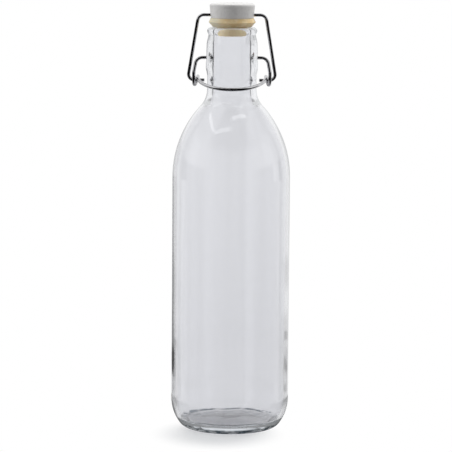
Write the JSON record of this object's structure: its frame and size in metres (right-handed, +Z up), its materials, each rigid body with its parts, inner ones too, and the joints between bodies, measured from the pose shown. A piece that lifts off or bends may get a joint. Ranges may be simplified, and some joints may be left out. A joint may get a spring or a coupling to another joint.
{
  "type": "swing top bottle",
  "caption": "Round clear glass bottle with a narrow neck, closed by a rubber-sealed stopper that a bent wire bail and over-centre lever pull onto the lip.",
  "frame": {"origin": "middle of the ring that the bottle stands on", "axes": "+Z up along the bottle's axis, X along the wires' pivots, the lever's handle towards -Y"},
  "size_m": [0.084, 0.084, 0.3047],
  "materials": {
    "clear_glass": "clear moulded soda-lime glass",
    "steel_wire": "drawn stainless wire, polished",
    "head_plastic": "moulded, semi-gloss, off white",
    "seal_rubber": "natural rubber, matt tan"
  },
  "bodies": {
    "bottle": {"bottle": "clear_glass"},
    "lever": {"lever_wire": "steel_wire"},
    "bail": {"bail_wire": "steel_wire"},
    "stopper": {"stopper_head": "head_plastic", "seal": "seal_rubber"}
  },
  "joints": [
    {"name": "lever_pivot", "type": "hinge", "parent": "bottle", "child": "lever", "pos_m": [0, 0, 0.26595], "axis": [-1, 0, 0], "range_deg": [0, 240]},
    {"name": "bail_pivot", "type": "hinge", "parent": "lever", "child": "bail", "pos_m": [0, 0.0015, 0.24985], "axis": [-1, 0, 0], "range_deg": [-163, 0]},
    {"name": "stopper_swivel", "type": "hinge", "parent": "bail", "child": "stopper", "pos_m": [0, 0, 0.2962], "axis": [-1, 0, 0], "range_deg": [-79, 0]}
  ],
  "couplings": [
    {"joint": "bail_pivot", "follows": "lever_pivot", "ratio": -0.675},
    {"joint": "stopper_swivel", "follows": "lever_pivot", "ratio": -0.325}
  ]
}
